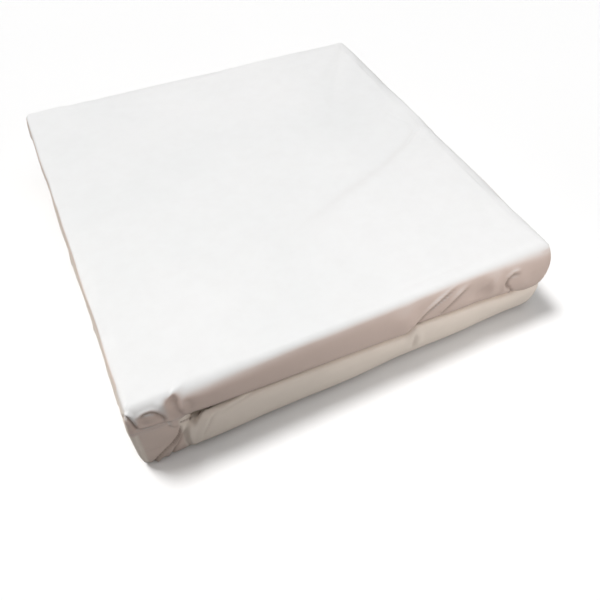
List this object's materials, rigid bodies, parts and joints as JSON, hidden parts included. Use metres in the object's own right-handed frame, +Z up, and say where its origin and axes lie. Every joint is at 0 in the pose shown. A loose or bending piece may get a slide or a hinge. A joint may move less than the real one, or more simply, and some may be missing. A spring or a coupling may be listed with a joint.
{
  "type": "pressure relief mattress",
  "caption": "Square foam mattress section in a smooth wipe-clean cover, with a zip round three sides behind a loose hanging flap.",
  "frame": {"origin": "middle of the underside, on the surface that it lies on", "axes": "+X along the front edge to the right, +Y to the back, +Z up; the side with no zip faces -X"},
  "size_m": [0.88, 0.94, 0.19],
  "materials": {
    "cover_white": "satin",
    "cover_base": "satin",
    "zip_tape": "matte",
    "zip_teeth": "satin",
    "slider_metal": "satin",
    "pull_tab": "satin",
    "sock": "matte",
    "foam_firm": "matte",
    "foam_middle": "matte",
    "foam_soft": "matte"
  },
  "bodies": {
    "mattress": {"cover_top": "cover_white", "cover_base": "cover_base", "cover_spine": "cover_white", "zip_tape_upper": "zip_tape", "zip_tape_lower": "zip_tape", "zip_teeth_upper": "zip_teeth", "zip_teeth_lower": "zip_teeth", "zip_top_stops": "slider_metal", "zip_bottom_stop": "slider_metal", "zip_end_patch_front": "cover_white", "zip_end_patch_back": "cover_white", "fire_sock": "sock", "foam_base": "foam_firm", "foam_rail_left": "foam_firm", "foam_rail_right": "foam_firm", "foam_castellated": "foam_middle", "foam_visco": "foam_soft"},
    "front_flap": {"flap_front": "cover_white"},
    "right_flap": {"flap_right": "cover_white"},
    "back_flap": {"flap_back": "cover_white"},
    "slider": {"zip_slider_body": "slider_metal", "zip_slider_stud": "slider_metal"},
    "pull_tab": {"zip_pull_tab": "pull_tab"}
  },
  "joints": [
    {"name": "flap_front_lift", "type": "hinge", "parent": "mattress", "child": "front_flap", "pos_m": [0, -0.46875, 0.129], "axis": [-1, 0, 0], "range_deg": [0, 120]},
    {"name": "flap_right_lift", "type": "hinge", "parent": "mattress", "child": "right_flap", "pos_m": [0.43875, 0, 0.129], "axis": [0, -1, 0], "range_deg": [0, 120]},
    {"name": "flap_back_lift", "type": "hinge", "parent": "mattress", "child": "back_flap", "pos_m": [0, 0.46875, 0.129], "axis": [1, 0, 0], "range_deg": [0, 120]},
    {"name": "zip_slide", "type": "slide", "parent": "mattress", "child": "slider", "axis": [1, 0, 0], "range_m": [0, 0.69], "deforming": ["zip_teeth_upper", "zip_teeth_lower"]},
    {"name": "pull_tab_swing", "type": "hinge", "parent": "slider", "child": "pull_tab", "pos_m": [-0.31, -0.4653, 0.111], "axis": [0, 1, 0], "range_deg": [-80, 80]}
  ]
}
